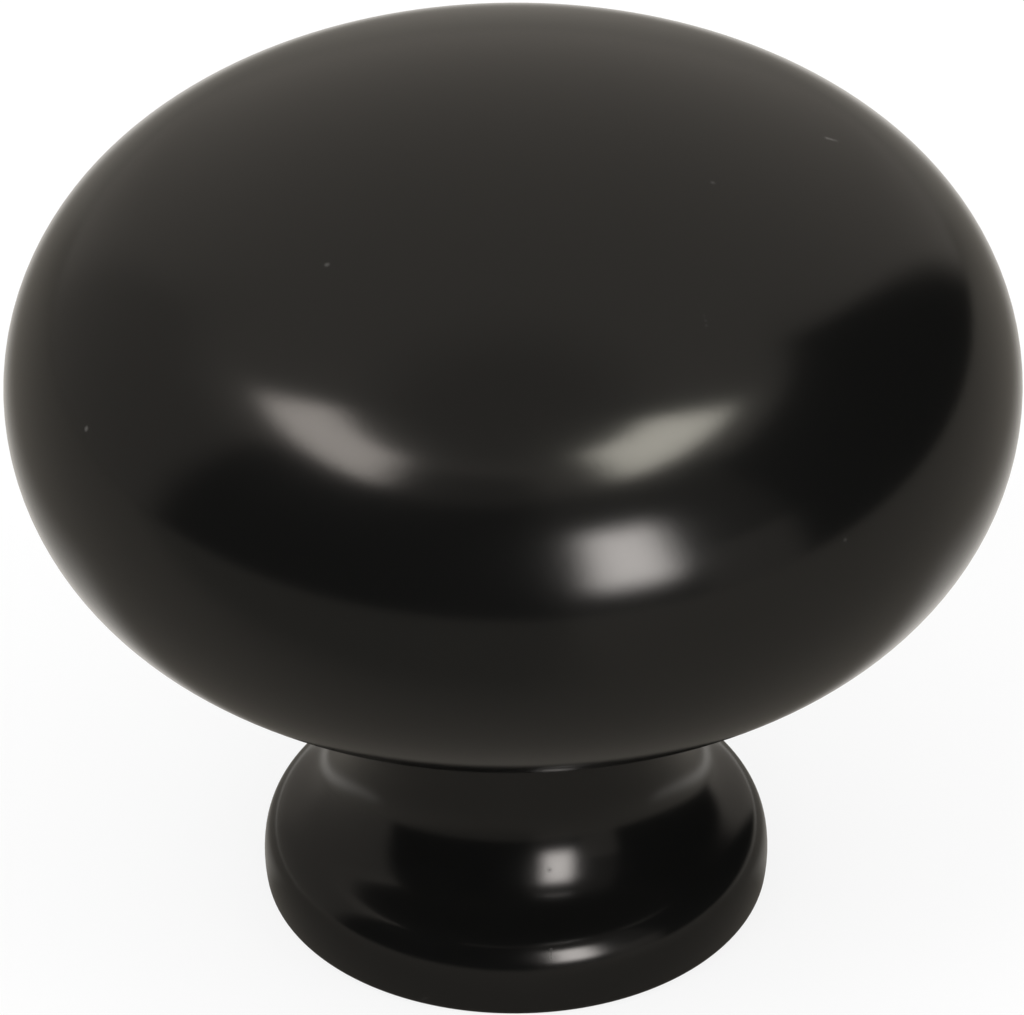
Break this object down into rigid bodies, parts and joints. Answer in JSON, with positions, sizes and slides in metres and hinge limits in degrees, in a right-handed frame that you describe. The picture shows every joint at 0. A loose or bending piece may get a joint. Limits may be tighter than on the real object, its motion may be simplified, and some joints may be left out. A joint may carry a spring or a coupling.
{
  "type": "cabinet knob",
  "caption": "Round mushroom-shaped cabinet knob with a flared foot and a blind threaded hole in its seat, in a satin-gloss black coating.",
  "frame": {"origin": "centre of the foot's seat, where it meets the drawer front", "axes": "+Z along the knob's axis, from the seat to the crown of the head"},
  "size_m": [0.032, 0.032, 0.028],
  "materials": {
    "black_coat": "smooth satin-gloss black coating over die-cast zinc alloy"
  },
  "bodies": {
    "root": {"knob": "black_coat"}
  },
  "joints": []
}
